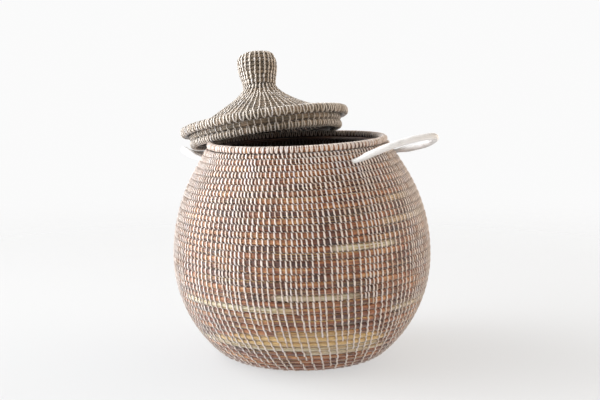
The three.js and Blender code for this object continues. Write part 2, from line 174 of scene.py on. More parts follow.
class Coil:
    """A coil that climbs an outline by one course in a turn. Where it starts and ends, between two lengths
    along the outline, it thins out to a wedge."""

    def __init__(self, outline, coil, courses, stand, end):
        self.outline, self.coil, self.stand, self.end = outline, coil, stand, end
        self.pitch = outline.length / courses
        self.last = end / self.pitch - LAST_WEDGE

    def course(self, turn):
        """How far along the outline the coil's middle lies, and half of its height there."""
        low = np.maximum(turn * self.pitch, 0)
        high = np.minimum((turn + 1) * self.pitch, self.end)
        return (low + high) / 2, (high - low) / 2

    def radius(self, turn):
        return self.outline.at(self.course(turn)[0], self.coil / 2)[0]

    def section(self, turn):
        """Half the width and half the height of the bundle, which is pressed flat between two courses."""
        return self.coil / 2 - SHALLOW + 0 * turn, self.course(turn)[1] * PRESSED

    def spot(self, turn, out, up):
        """Where a point lies that is out and up from the coil's middle, at a number of turns."""
        middle, half = self.course(turn)
        along = middle + up * np.where(np.abs(up) > self.pitch * PRESSED / 2, 1, 2 * half / self.pitch)
        r, z = self.outline.at(along, self.coil / 2 - out)
        angle = TURN * turn
        return self.stand(np.stack([r * np.cos(angle), r * np.sin(angle), z], axis=1))


RING_START = 1 / 3


class Ring:
    """A single closed turn of coil. It starts and ends on the side away from the camera."""

    def __init__(self, radius, height, width, depth, stand):
        self.ring_radius, self.height, self.stand = radius, height, stand
        self.half_out, self.half_up = width / 2 - SHALLOW, depth / 2

    def radius(self, turn):
        return self.ring_radius + 0 * turn

    def section(self, turn):
        return self.half_out + 0 * turn, self.half_up + 0 * turn

    def spot(self, turn, out, up):
        r = self.ring_radius + out
        angle = TURN * (turn + RING_START)
        z = self.height + up + 0 * angle
        return self.stand(np.stack([r * np.cos(angle), r * np.sin(angle), z], axis=1))


def deselect():
    bpy.ops.object.select_all(action="DESELECT")


def plain_tube(name, rings, sides, closed=False):
    """A plain tube, ready to be bent. Gives the object and the angle of each side round the section."""
    deselect()
    place, turned = (MM * sides, 0, 0), (math.pi / 2, 0, 0)
    bpy.ops.mesh.primitive_circle_add(vertices=sides, radius=MM, location=place, rotation=turned)
    tube = bpy.context.object
    tube.name = tube.data.name = name
    bpy.ops.object.transform_apply()
    section = np.empty(3 * sides)
    tube.data.vertices.foreach_get("co", section)
    section = section.reshape(-1, 3)
    wind = tube.modifiers.new("wind", "SCREW")
    wind.angle = TURN
    wind.screw_offset = 0 if closed else 1
    wind.steps = wind.render_steps = rings if closed else rings - 1
    bpy.ops.object.modifier_apply(modifier=wind.name)
    return tube, np.arctan2(section[:, 2], section[:, 0] - MM * sides)


def close_up():
    """Closes the open ends of the mesh in hand and points its faces outwards."""
    bpy.ops.object.mode_set(mode="EDIT")
    bpy.ops.mesh.select_all(action="SELECT")
    bpy.ops.mesh.fill_holes(sides=0)
    bpy.ops.mesh.select_all(action="SELECT")
    bpy.ops.mesh.normals_make_consistent(inside=False)
    bpy.ops.object.mode_set(mode="OBJECT")
    bpy.ops.object.shade_smooth()


def bend_tube(tube, places, along, around, closed=False):
    """Moves a plain tube's rings to their places, with a UV map in metres along it and turns round it."""
    rings, sides, _ = places.shape
    mesh = tube.data
    mesh.vertices.foreach_set("co", places.ravel())
    used = np.empty(len(mesh.loops), int)
    mesh.loops.foreach_get("vertex_index", used)
    used = used.reshape(-1, 4)
    ring, side = used // sides, used % sides
    u = np.append(along, along[-1] + (along[1] - along[0]))
    if closed:
        ring = np.where((ring == 0) & (ring.max(axis=1, keepdims=True) == rings - 1), rings, ring)
    v = (around[side] / TURN + 0.5) % 1
    v = np.where((v < 0.25) & (v.max(axis=1, keepdims=True) > 0.75), v + 1, v)
    uv = mesh.uv_layers.new(name="coil")
    uv.data.foreach_set("uv", np.stack([u[ring], v], axis=2).ravel())
    close_up()
    return tube


def squared(angle):
    """The outline of a bundle's section, rounder than a square and squarer than a circle."""
    cos, sin = np.cos(angle), np.sin(angle)
    reach = (np.abs(cos) ** SQUARENESS + np.abs(sin) ** SQUARENESS) ** (-1 / SQUARENESS)
    return cos * reach, sin * reach


def mark(piece, name, turns, stretches):
    """Marks the stretches of a bundle, given as where each begins and ends in turns, and how strongly."""
    fade_in, fade_out = 0.006, 0.012
    strength = np.zeros(len(turns))
    for begin, end, full in stretches:
        begun = smooth(turns, begin - fade_in, begin + fade_in)
        over = smooth(turns, end - fade_out, end + fade_out)
        strength = np.maximum(strength, full * (begun * (1 - over)))
    layer = piece.data.attributes.new(name, "FLOAT", "POINT")
    layer.data.foreach_set("value", strength.astype(np.float32))


def wound_bundle(name, winding, first, last, per_turn, marks, sides=10):
    """The bundle of palm itself, from one number of turns to another, with a squared section. It is thin
    where the coil begins."""
    closed = isinstance(winding, Ring)
    rings = per_turn if closed else int((last - first) * per_turn) + 1
    tube, around = plain_tube(name, rings, sides, closed)
    turns = np.linspace(first, last, rings, endpoint=not closed)
    thin, growth, growing_turns = 0.55, 0.45, 0.6
    taper = 1 if closed or first > 0 else thin + growth * smooth(turns, first, first + growing_turns)
    wide, tall = winding.section(turns)
    across, upright = squared(around)
    out = np.outer(taper * wide, across)
    up = np.outer(taper * tall, upright)
    spread = np.repeat(turns, sides)
    places = winding.spot(spread, out.ravel(), up.ravel()).reshape(rings, sides, 3)
    step = TURN * winding.radius(turns) * (turns[1] - turns[0]) * MM
    bend_tube(tube, places, np.cumsum(step) - step[0], around, closed)
    for layer, stretches in marks:
        mark(tube, layer, spread, stretches)
    return tube


def sewn_turns(winding, first, last, spacing, lean):
    """The turns at which stitches sit. Each meets the stitch below it, leaning by so many millimetres a
    course. Where the columns spread too far a new one forks off, and where they crowd one ends."""
    nearest, farthest, fork_back = 0.55, 1.45, 0.62
    to_column, to_spacing = 0.85, 0.15
    turns = [first]
    below = 0
    while turns[-1] < last:
        here = turns[-1]
        gap = float(spacing(here))
        around = TURN * max(float(winding.radius(np.array(here))), gap / 3)
        step = gap / around
        if here - first < 1:
            turns.append(here + step)
            continue
        rise = 1 + float(lean(here)) / around
        while turns[below] + rise < here + nearest * step:
            below += 1
        meet = turns[below] + rise
        if meet > here + farthest * step:
            turns.append(meet - fork_back * step)
        else:
            turns.append(to_column * meet + to_spacing * (here + step))
            below += 1
    return np.array(turns)


def sew(name, winding, turns, way, width, thickness, slant, seed, finish, ends=0.55):
    """Models one stitch, copies it to each of these turns and lays the copies on a winding. way is how it
    goes over the bundle, as out and up in millimetres. slant is how far its lower end lies to the right of
    its upper end, and ends is the share of its width that is left at both. No two stitches are quite the
    same."""
    slant_spread, width_spread, shift_spread = 0.4, 0.12, 0.3
    narrowest, widest = 0.7, 1.3
    curl, sunk = 0.16, 0.35
    thin, growth = 0.6, 0.4
    rng = np.random.default_rng(seed)
    way = np.array(way, float)
    rows, count = len(way), len(turns)
    deselect()
    bpy.ops.mesh.primitive_grid_add(x_subdivisions=1, y_subdivisions=rows - 1, size=1, calc_uvs=False)
    piece = bpy.context.object
    piece.name = piece.data.name = name
    thick = piece.modifiers.new("thick", "SOLIDIFY")
    thick.thickness = 1
    bpy.ops.object.modifier_apply(modifier=thick.name)
    form = np.array([v.co for v in piece.data.vertices])
    form = (form - form.min(axis=0)) / np.ptp(form, axis=0)
    copies = piece.modifiers.new("copies", "ARRAY")
    copies.count = count
    copies.use_relative_offset = False
    bpy.ops.object.modifier_apply(modifier=copies.name)

    across, row, lift = form[:, 0] - 0.5, np.rint(form[:, 1] * (rows - 1)).astype(int), form[:, 2]
    tangent = np.gradient(way, axis=0)
    tangent /= np.linalg.norm(tangent, axis=1)[:, None]
    normal = np.stack([-tangent[:, 1], tangent[:, 0]], axis=1)
    share = row / (rows - 1)
    taper = ends + (1 - ends) * np.sin(math.pi * share) ** 0.5
    slants = np.broadcast_to(slant, count) + rng.normal(0, slant_spread, count)
    widths = width * rng.normal(1, width_spread, count).clip(narrowest, widest)
    shifts = rng.normal(0, shift_spread, count)
    bow = share - 0.5 + curl * np.sin(TURN * share)
    sideways = np.outer(slants, bow) + np.outer(widths, across * taper) + shifts[:, None]
    around = TURN * np.maximum(winding.radius(turns), winding.section(turns)[0] / 2)
    at = turns[:, None] + sideways / around[:, None]
    proud = lift * thickness * (thin + growth * taper) - sunk
    out = np.broadcast_to(way[row, 0] + normal[row, 0] * proud, at.shape)
    up = np.broadcast_to(way[row, 1] + normal[row, 1] * proud, at.shape)
    mesh = piece.data
    mesh.vertices.foreach_set("co", winding.spot(at.ravel(), out.ravel(), up.ravel()).ravel())
    shade = mesh.attributes.new("shade", "FLOAT", "POINT")
    shade.data.foreach_set("value", np.repeat(rng.random(count), len(form)).astype(np.float32))
    used = np.empty(len(mesh.loops), int)
    mesh.loops.foreach_get("vertex_index", used)
    layer = mesh.uv_layers.new(name="coil")
    flat = np.stack([across + 0.5, share], axis=1)
    layer.data.foreach_set("uv", flat[used % len(form)].ravel())
    mesh.materials.append(finish)
    close_up()
    return piece


class Wire:
    """A shader socket that can be used in sums."""

    def __init__(self, nodes, socket):
        self.nodes, self.socket = nodes, socket

    def math(self, operation, first, second):
        return self.nodes.node("ShaderNodeMath", {"operation": operation}, {0: first, 1: second})

    def __add__(self, other):
        return self.math("ADD", self, other)

    def __sub__(self, other):
        return self.math("SUBTRACT", self, other)

    def __rsub__(self, other):
        return self.math("SUBTRACT", other, self)

    def __mul__(self, other):
        return self.math("MULTIPLY", self, other)

    __radd__ = __add__
    __rmul__ = __mul__


class Nodes:
    """The nodes of a material, or of the studio's surroundings."""

    def __init__(self, tree):
        self.tree = tree

    def node(self, kind, settings, sockets, output=0):
        made = self.tree.nodes.new(kind)
        for key, value in settings.items():
            if key == "stops":
                ramp = made.color_ramp
                while len(ramp.elements) < len(value):
                    ramp.elements.new(0.5)
                for element, (place, colour) in zip(ramp.elements, value):
                    element.position = place
                    element.color = (*colour, 1)
            else:
                setattr(made, key, value)
        for key, value in sockets.items():
            self.join(value, made.inputs[key])
        return Wire(self, made.outputs[output])

    def join(self, value, socket):
        if isinstance(value, Wire):
            self.tree.links.new(value.socket, socket)
        else:
            socket.default_value = value

    def ramp(self, factor, stops):
        return self.node("ShaderNodeValToRGB", {"stops": stops}, {"Fac": factor})

    def rise(self, value, low, high):
        """Goes from 0 at the low value to 1 at the high one, gently at both ends."""
        settings = {"clamp": True, "interpolation_type": "SMOOTHSTEP"}
        sockets = {"Value": value, "From Min": low, "From Max": high}
        return self.node("ShaderNodeMapRange", settings, sockets)

    def mix(self, factor, first, second, blend="MIX"):
        settings = {"data_type": "RGBA", "blend_type": blend}
        return self.node("ShaderNodeMix", settings, {0: factor, 6: first, 7: second}, 2)


class Finish(Nodes):
    """A material for one of the basket's surfaces."""

    def __init__(self, name, roughness, specular, sheen=0.0):
        self.material = bpy.data.materials.new(name)
        self.material.use_nodes = True
        super().__init__(self.material.node_tree)
        self.shader = self.tree.nodes["Principled BSDF"]
        self.set(Roughness=roughness, Specular_IOR_Level=specular)
        self.set(Sheen_Weight=sheen, Sheen_Roughness=0.4, Sheen_Tint=(1.0, 0.93, 0.90, 1))

    def set(self, **sockets):
        for key, value in sockets.items():
            self.join(value, self.shader.inputs[key.replace("_", " ")])

    def along_coil(self, stretch_u, stretch_v, offset=0.0):
        """The coil's own coordinates, stretched along it and round it."""
        uv = self.node("ShaderNodeUVMap", {"uv_map": "coil"}, {})
        sockets = {"Vector": uv, "Scale": (stretch_u, stretch_v, 1), "Location": (offset, offset, offset)}
        return self.node("ShaderNodeMapping", {}, sockets)

    def noise(self, vector, detail, roughness):
        sockets = {"Vector": vector, "Scale": 1.0, "Detail": detail, "Roughness": roughness}
        return self.node("ShaderNodeTexNoise", {"noise_dimensions": "3D"}, sockets)

    def above(self, value, level, soft):
        """1 above a level and 0 below it, with a soft edge."""
        return self.rise(value, level - soft, level + soft)

    def round_coil(self):
        """How far round the bundle a point lies: 0.5 is its outer face and 0.75 its top."""
        uv = self.node("ShaderNodeUVMap", {"uv_map": "coil"}, {})
        return self.node("ShaderNodeSeparateXYZ", {}, {0: uv}, 1)

    def bump(self, height, distance):
        """Relief, as deep as the distance in metres."""
        self.set(Normal=self.node("ShaderNodeBump", {}, {"Height": height, "Distance": distance}))

    def value(self, name):
        """What the mesh carries under a name."""
        return self.node("ShaderNodeAttribute", {"attribute_name": name}, {}, 2)


def palm_finish(name, tones, straw, green, wash):
    """Dry palm leaf laid along the bundle: long strips of different browns, loose pale strands, fine fibres
    and dark splits, with painted shade in the furrows and on the inner face. Marked stretches are of green
    leaf, of straw, or have one pale strand along their top."""
    finish = Finish(name, roughness=0.5, specular=0.75, sheen=wash)
    leaf = finish.noise(finish.along_coil(15, 1.4), 2.0, 0.6)
    strips = finish.noise(finish.along_coil(9, 12, 3.0), 2.0, 0.6)
    patches = finish.noise(finish.along_coil(70, 3, 5.0), 1.0, 0.5)
    colour = finish.ramp(leaf * 0.45 + strips * 0.35 + patches * 0.2, tones)
    colour = finish.mix(finish.value("straw") * finish.above(strips, 0.36, 0.08), colour, (*straw, 1))
    dry_leaf = (*(0.6 * c for c in straw), 1)
    half_dry = finish.mix(finish.above(strips, 0.45, 0.05), dry_leaf, (*green, 1))
    colour = finish.mix(finish.value("green"), colour, half_dry)

    strand = finish.noise(finish.along_coil(7, 30, 11.0), 1.0, 0.5)
    loose_strand = finish.above(strand, 0.635, 0.02) * 0.65
    round_coil = finish.round_coil()
    on_top = finish.above(round_coil, 0.60, 0.01) - finish.above(round_coil, 0.645, 0.01)
    colour = finish.mix(loose_strand + finish.value("strand") * on_top, colour, (*straw, 1))

    bare, split_shade = (1.0, 1.0, 1.0), (0.36, 0.31, 0.28)
    furrow_shade, inner_shade = (0.30, 0.24, 0.22), (0.22, 0.20, 0.20)
    fibres = finish.noise(finish.along_coil(130, 70, 7.0), 2.0, 0.6)
    split = finish.ramp(fibres, [(0.34, split_shade), (0.56, bare)])
    colour = finish.mix(1.0, colour, split, "MULTIPLY")
    # Painted shade: darker towards the furrows at the bundle's top and bottom, and darkest on its inner
    # face
    painted_shade_stops = [
        (0.12, inner_shade),
        (0.29, furrow_shade),
        (0.40, bare),
        (0.64, bare),
        (0.71, furrow_shade),
        (0.88, inner_shade),
    ]
    colour = finish.mix(1.0, colour, finish.ramp(round_coil, painted_shade_stops), "MULTIPLY")
    finish.set(Base_Color=colour, Roughness=0.36 + fibres * 0.2)
    finish.bump(fibres * 0.6 + strips * 1.4, 0.0010)
    return finish.material


def strip_finish(name, light, stained, wash=0.0):
    """White sewing strip: split palm leaf, ribbed along its length, from stained to cool white."""
    finish = Finish(name, roughness=0.5, specular=0.25, sheen=wash)
    bluish, rib_shade, bare = (0.96, 1.0, 1.09), (0.62, 0.60, 0.58), (1.0, 1.0, 1.0)
    cool = tuple(c * k for c, k in zip(light, bluish))
    colour = finish.ramp(finish.value("shade"), [(0.0, stained), (0.22, light), (0.75, light), (1.0, cool)])
    ribs = finish.noise(finish.along_coil(9, 1.2), 2.0, 0.5)
    shaded = finish.ramp(ribs, [(0.32, rib_shade), (0.52, bare)])
    finish.set(Base_Color=finish.mix(1.0, colour, shaded, "MULTIPLY"))
    finish.bump(ribs, 0.0004)
    return finish.material


def dress(piece, finish, body_name, slot, *nodes):
    """Gives a piece its finish and the body that it moves with."""
    if not piece.data.materials:
        piece.data.materials.append(finish)
    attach(piece, body_name)
    if nodes:
        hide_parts(*nodes)


body_courses = round(body_outline.length / body_coil)
wall_end = body_outline.length - body_coil / 2 + 2 * seat_gap
body = Coil(body_outline, body_coil, body_courses, stand_body, wall_end)
foot_turn = round(foot_flat / body.pitch) - 0.5
body_tones = [
    (0.40, (0.032, 0.005, 0.001)),
    (0.46, (0.100, 0.020, 0.004)),
    (0.51, (0.215, 0.056, 0.013)),
    (0.56, (0.375, 0.132, 0.037)),
    (0.64, (0.560, 0.290, 0.110)),
]
body_straw, body_green = (0.68, 0.46, 0.18), (0.64, 0.60, 0.43)
body_palm = palm_finish("body_palm", body_tones, body_straw, body_green, wash=0.6)
body_strip = strip_finish("body_strip", light=(0.69, 0.615, 0.565), stained=(0.51, 0.395, 0.32))
# Painted shade: the inner stitches are the white strip made nearly black, for the shade inside the basket
# and under the lid
inside_strip_painted_shade = strip_finish("inside_strip_painted_shade", light=(0.20, 0.185, 0.17), stained=(0.13, 0.108, 0.09))

# Stretches of other palm: the turns from the foot's centre at which each begins and ends, and how strong
# its colour is
green_palm = [
    (24.66, 24.82, 0.95),
    (26.80, 26.90, 0.7),
    (33.87, 33.95, 0.95),
    (17.64, 17.95, 0.8),
    (16.84, 16.97, 0.7),
    (23.95, 24.05, 0.7),
    (39.96, 40.01, 0.6),
    (36.94, 37.06, 0.6),
    (29.40, 29.52, 0.8),
    (35.30, 35.36, 0.8),
]
straw_palm = [
    (18.70, 18.96, 0.9),
    (19.74, 19.94, 0.9),
    (20.80, 20.90, 0.6),
    (31.10, 31.32, 0.7),
    (42.30, 42.42, 0.7),
    (22.20, 22.45, 0.8),
]
pale_strands = [
    (40.74, 40.93, 1.0),
    (41.70, 41.80, 0.8),
    (37.76, 37.84, 0.8),
    (32.80, 32.90, 0.8),
    (22.76, 22.92, 0.9),
    (28.70, 28.80, 0.7),
    (34.20, 34.50, 0.9),
    (30.40, 30.60, 0.8),
]
body_marks = [("green", green_palm), ("straw", straw_palm), ("strand", pale_strands)]
knot_turn = -0.38
base_bundle = wound_bundle("base_bundle", body, knot_turn, foot_turn, per_turn=84, marks=body_marks)
wall_bundle = wound_bundle("wall_bundle", body, foot_turn, body.last, per_turn=132, marks=body_marks)
dress(base_bundle, body_palm, "basket", "body_palm", "base_coil")
dress(wall_bundle, body_palm, "basket", "body_palm", "wall_coil")

# The ways that a strip takes over the outer face and over the inner one, from one furrow to the next
outer_way = [(2.4, 4.75), (4.1, 4.1), (4.85, 2.2), (5.0, 0.0), (4.9, -2.4), (4.3, -4.5), (3.0, -5.7)]
inner_way = [(-3.0, -4.8), (-4.75, -2.6), (-4.75, 2.6), (-3.0, 4.8)]
belly_turn = body_outline.lengths[np.searchsorted(body_outline.points[:, 1], belly_height)] / body.pitch

foot_spacing, belly_closer, shoulder_wider = 13, 5.4, 0.6
foot_lean, lean_change = -2.6, 3.1


def body_spacing(turn):
    """Millimetres from one stitch to the next, widest on the foot and closest on the belly."""
    closer = belly_closer * smooth(turn, foot_turn + 2, belly_turn - 1)
    return foot_spacing - closer + shoulder_wider * smooth(turn, belly_turn, body_courses)


def body_lean(turn):
    """Millimetres that a column moves to the right in a course: to the left low down, hardly higher up."""
    return foot_lean + lean_change * smooth(turn, foot_turn + 3, belly_turn + 7)


strip_thickness = 0.9
body_turns = sewn_turns(body, 0.0, body.last - 0.15, body_spacing, body_lean)
base_turns = body_turns[body_turns < foot_turn]
lower_turns = body_turns[(body_turns >= foot_turn) & (body_turns < belly_turn)]
upper_turns = body_turns[body_turns >= belly_turn]
for name, turns, way, width, slant, seed, finish in [
    ("base_stitches", base_turns, outer_way, 2.3, 4.3, 11, body_strip),
    ("wall_stitches_lower", lower_turns, outer_way, 2.3, 4.3, 12, body_strip),
    ("wall_stitches_upper", upper_turns, outer_way, 2.3, 4.3, 13, body_strip),
    ("inner_stitches", body_turns, inner_way, 2.1, -2.0, 17, inside_strip_painted_shade),
]:
    stitches = sew(name, body, turns, way, width, strip_thickness, slant, seed, finish)
    dress(stitches, finish, "basket", "rim_palm")


# Rim
# The last course of the same palm is closed on itself at the mouth. It is oversewn in pairs of stitches, so
# closely that little of the bundle shows.

mouth_end, mouth_tangent = body_outline.points[-1], body_outline.tangents[-1]
rim_radius = mouth_end[0] - mouth_tangent[1] * body_coil / 2
rim_height = mouth_end[1] + mouth_tangent[0] * body_coil / 2 + body_coil / 2 * abs(mouth_tangent[0])
rim = Ring(rim_radius, rim_height - foot_wear, body_coil, body_coil, stand_mouth)
plain_marks = [("green", []), ("straw", []), ("strand", [])]
rim_bundle = wound_bundle("rim_bundle", rim, 0, 1, per_turn=120, marks=plain_marks, sides=12)
dress(rim_bundle, body_palm, "basket", "rim_palm", "rim_coil")


def over_way(ring, start, end, rows):
    """A way over a ring's section, between two angles in degrees, measured up from its outer side."""
    clear = 0.3
    across, upright = squared(np.radians(np.linspace(start, end, rows)))
    return np.stack([(ring.half_out + clear) * across, (ring.half_up + clear) * upright], axis=1)


def sew_pairs(name, ring, spacing, spread, way, width, thickness, seed, finish):
    """Stitches in pairs, which lie a spread apart at one end and run together at the other."""
    count = round(TURN * ring.ring_radius / spacing)
    middle = np.arange(count) / count
    half = spread / 4 / (TURN * ring.ring_radius)
    turns = np.concatenate([middle - half, middle + half])
    slant = np.concatenate([np.full(count, spread / 2), np.full(count, -spread / 2)])
    return sew(name, ring, turns, way, width, thickness, slant, seed, finish, ends=0.75)


rim_way = over_way(rim, start=205, end=-62, rows=9)
rim_sewing = dict(spacing=7.0, spread=5.4, width=2.0, thickness=strip_thickness, seed=23)
stitches = sew_pairs("rim_stitches", rim, way=rim_way, finish=body_strip, **rim_sewing)
dress(stitches, body_strip, "basket", "rim_palm")


# Lid: knob and crown
# The lid is wound the same way from the top of its knob, of thinner greyish palm, and the columns of
# white stitches fork into rays as the crown spreads.

knob_radius = 31.8
knob_coil = 6.8
knob_height = 56
knob_waist_drop = 24.2
knob_top_fullness = 0.98
knob_side_fullness = 0.55
knob_foot_fullness = 0.3
neck_radius = 26.5
neck_height = 57
crown_coil = 8.5
crown_edge_height = 2.6
crown_neck_share = 0.28
crown_spread_share = 0.63
crown_flare_share = 0.056
brim_width = 12.8
brim_depth = 13.8
brim_drop = 4.6
collar_play = 6
collar_coil = 11
collar_edge_coil = 11.4
knob_lean = math.radians(5.3)
knob_lean_azimuth = math.radians(103)
knob_lean_height = 40
knob_lean_start = 55
lid_slip_azimuth = math.radians(152)
lid_tilt = math.radians(11.2)

collar_outer_radius = rim_radius - body_coil / 2 - collar_play
collar_radius = collar_outer_radius - collar_coil / 2
crown_edge_radius = collar_outer_radius - seat_gap
knob_top = neck_height + knob_height
knob_waist = knob_top - knob_waist_drop
knob_top_curve = [
    (0, knob_top),
    (knob_radius * knob_top_fullness, knob_top),
    (knob_radius, knob_waist + knob_radius * knob_side_fullness),
    (knob_radius, knob_waist),
]
knob_foot_curve = [
    (knob_radius, knob_waist),
    (knob_radius, knob_waist - knob_radius * knob_foot_fullness),
    (neck_radius, neck_height + knob_radius * knob_foot_fullness),
    (neck_radius, neck_height),
]
span = crown_edge_radius - neck_radius
drop = neck_height - crown_edge_height
crown_curve = [
    (neck_radius, neck_height),
    (neck_radius, neck_height - drop * crown_neck_share),
    (neck_radius + span * crown_spread_share, crown_edge_height + drop * crown_flare_share),
    (crown_edge_radius, crown_edge_height),
]
knob_points = np.concatenate([bezier(knob_top_curve), bezier(knob_foot_curve)[1:]])
crown_points = bezier(crown_curve, count=160)
knob_outline = Outline(knob_points, side=-1)
crown_outline = Outline(crown_points, side=-1)
brim_height = crown_edge_height - brim_drop

knob_lean_axis = (-math.sin(knob_lean_azimuth), math.cos(knob_lean_azimuth), 0)
tilt_axis = (-math.sin(lid_slip_azimuth), math.cos(lid_slip_azimuth), 0)
brim_low, brim_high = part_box("lid_brim")
brim_centre = np.array([(brim_low + brim_high) / 2]) / MM
brim_centre = rotated(brim_centre, belly_centre, lean_axis, -mouth_lean)
brim_arm = rotated(np.array([[0, 0, brim_height]]), (0, 0, 0), tilt_axis, lid_tilt)
lid_origin = brim_centre - brim_arm


def lay_lid(points):
    """Puts a point of the lid, drawn upright round its own axis, where the lid lies on the rim."""
    return stand_mouth(rotated(points, (0, 0, 0), tilt_axis, lid_tilt) + lid_origin)


def lay_crown(points):
    """Leans the knob and the middle of the crown first."""
    out = np.hypot(points[:, 0], points[:, 1])
    share = 1 - smooth(out, knob_lean_start, collar_radius - collar_coil / 2)
    return lay_lid(rotated(points, (0, 0, knob_lean_height), knob_lean_axis, knob_lean * share))


lid_tones = [
    (0.40, (0.040, 0.029, 0.018)),
    (0.46, (0.085, 0.064, 0.038)),
    (0.51, (0.150, 0.112, 0.064)),
    (0.56, (0.240, 0.170, 0.105)),
    (0.64, (0.370, 0.260, 0.180)),
]
lid_straw, lid_green = (0.50, 0.42, 0.28), (0.42, 0.44, 0.30)
lid_palm = palm_finish("lid_palm", lid_tones, lid_straw, lid_green, wash=0.35)
lid_strip = strip_finish("lid_strip", light=(0.61, 0.56, 0.505), stained=(0.40, 0.335, 0.27), wash=0.1)

knob_courses = round(knob_outline.length / knob_coil)
crown_courses = round(crown_outline.length / crown_coil)
knob = Coil(knob_outline, knob_coil, knob_courses, lay_crown, knob_outline.length)
crown = Coil(crown_outline, crown_coil, crown_courses, lay_crown, crown_outline.length)
neck_turn = -0.96
knob_bundle = wound_bundle("knob_bundle", knob, knot_turn, knob.last, per_turn=40, marks=plain_marks)
crown_bundle = wound_bundle("crown_bundle", crown, neck_turn, crown.last, per_turn=84, marks=plain_marks)
dress(knob_bundle, lid_palm, "lid", "lid_palm", "lid_knob")
dress(crown_bundle, lid_palm, "lid", "lid_palm", "lid_crown")


def scaled_way(way, winding):
    """The same way, over a thinner bundle."""
    out_scale = winding.coil / body_coil
    up_scale = winding.pitch / body.pitch
    return [(out * out_scale, up * up_scale) for out, up in way]


neck_spacing, ray_spread = 4.9, 2.9


def knob_spacing(turn):
    """The knob's stitches are evenly spaced."""
    return 6.5


def crown_spacing(turn):
    """The crown's spread from the neck to its edge."""
    return neck_spacing + ray_spread * smooth(turn, 0, crown_courses)


def lid_lean(turn):
    """The lid's columns lean a little to the left."""
    return -0.4


lid_strip_thickness = 0.8
knob_turns = sewn_turns(knob, 0.0, knob.last - 0.1, knob_spacing, lid_lean)
crown_turns = sewn_turns(crown, -0.7, crown.last - 0.1, crown_spacing, lid_lean)
knob_way, crown_way = scaled_way(outer_way, knob), scaled_way(outer_way, crown)
crown_inside = scaled_way(inner_way, crown)
for name, winding, turns, way, width, slant, seed, finish in [
    ("knob_stitches", knob, knob_turns, knob_way, 2.3, 2.2, 31, lid_strip),
    ("crown_stitches", crown, crown_turns, crown_way, 2.1, 2.8, 32, lid_strip),
    ("crown_inner_stitches", crown, crown_turns, crown_inside, 2.2, -1.5, 33, inside_strip_painted_shade),
]:
    stitches = sew(name, winding, turns, way, width, lid_strip_thickness, slant, seed, finish)
    dress(stitches, finish, "lid", "lid_edge_palm")


# Lid: brim and collar
# A thick bundle is sewn round the crown's edge as a brim, and two turns under the crown drop into the
# mouth. The brim and the lowest turn carry stitches in V-shaped pairs, and the middle turn is nearly bare.

brim = Ring(collar_outer_radius + seat_gap + brim_width / 2, brim_height, brim_width, brim_depth, lay_lid)
crown_edge = crown_points[-1] - crown_points[-2]
crown_level = crown_edge[0] / np.linalg.norm(crown_edge)
crown_at_collar = np.interp(collar_radius, crown_points[:, 0], crown_points[:, 1])
collar_top = crown_at_collar - (crown_coil + seat_gap) / crown_level
middle_height = collar_top - collar_coil / 2
edge_height = collar_top - collar_coil - seat_gap - collar_edge_coil / 2
collar_middle = Ring(collar_radius, middle_height, collar_coil, collar_coil, lay_lid)
collar_edge = Ring(collar_radius, edge_height, collar_edge_coil, collar_edge_coil, lay_lid)
for name, ring, slot_name, node in [
    ("brim_bundle", brim, "lid_edge_palm", "lid_brim"),
    ("collar_middle_bundle", collar_middle, "lid_palm", "lid_collar_middle"),
    ("collar_edge_bundle", collar_edge, "lid_edge_palm", "lid_collar_edge"),
]:
    bundle = wound_bundle(name, ring, 0, 1, per_turn=112, marks=plain_marks, sides=12)
    dress(bundle, lid_palm, "lid", slot_name, node)

pair_width, pair_thickness = 2.0, 1.0
brim_way = over_way(brim, start=170, end=-75, rows=9)
edge_way = over_way(collar_edge, start=95, end=-150, rows=9)
for name, ring, spacing, spread, way, seed in [
    ("brim_stitches", brim, 10.6, 13.0, brim_way, 41),
    ("collar_edge_stitches", collar_edge, 10.4, 12.0, edge_way, 42),
]:
    stitches = sew_pairs(name, ring, spacing, spread, way, pair_width, pair_thickness, seed, lid_strip)
    dress(stitches, lid_strip, "lid", "lid_edge_palm")

middle_spacing = 10.5
middle_count = round(TURN * collar_radius / middle_spacing)
middle_turns = np.arange(middle_count) / middle_count
middle_way = over_way(collar_middle, start=200, end=-200, rows=13)
middle_sewing = dict(width=1.9, thickness=lid_strip_thickness, slant=8.0, seed=43, ends=0.8)
name = "collar_middle_stitches"
stitches = sew(name, collar_middle, middle_turns, middle_way, finish=lid_strip, **middle_sewing)
dress(stitches, lid_strip, "lid", "lid_edge_palm")


# Handles
# Each is a loop of palm rope in a sleeve of thin white leather. Both strands go through the wall a
# little under the rim, and each is knotted inside.

handle_half_angle = math.radians(27)
sleeve_width = 12.4
sleeve_thickness = 10.8
sleeve_leather = 1.4
sleeve_start = 3
loop_squareness = 1.5
root_lift = math.radians(15)
root_show = 3.6
turn_gap = 0.35
knot_gap = 1.3
knot_length = 10
knot_width = 20
sleeve_in_wall = (-13.0, -8.0, -3.0, 1.5, 5.0)
rumple_depth = 0.30
rope_lay = 22
knot_strand = 3.1
knot_depth = 1.9

# The way each loop points, how far it reaches, and how far it is lifted and twisted, in degrees
handles = [
    ("right", 0.0, 91, 17.5, 10.5),
    ("left", math.pi, 65, 0.25, -16.0),
]
root_height = body_height - handle_drop
root_radius = float(body_radius(np.array(float(root_height))))
root_slope = math.atan(root_radius - float(body_radius(np.array(root_height + 1.0))))
rope_thickness = sleeve_thickness - 2 * (sleeve_leather + seat_gap)
stand_off = root_show + turn_gap + rope_thickness / 2
chord_half = root_radius * math.sin(handle_half_angle)
chord_distance = root_radius * math.cos(handle_half_angle) + stand_off * math.cos(root_lift)
hinge_height = root_height + stand_off * math.sin(root_lift)


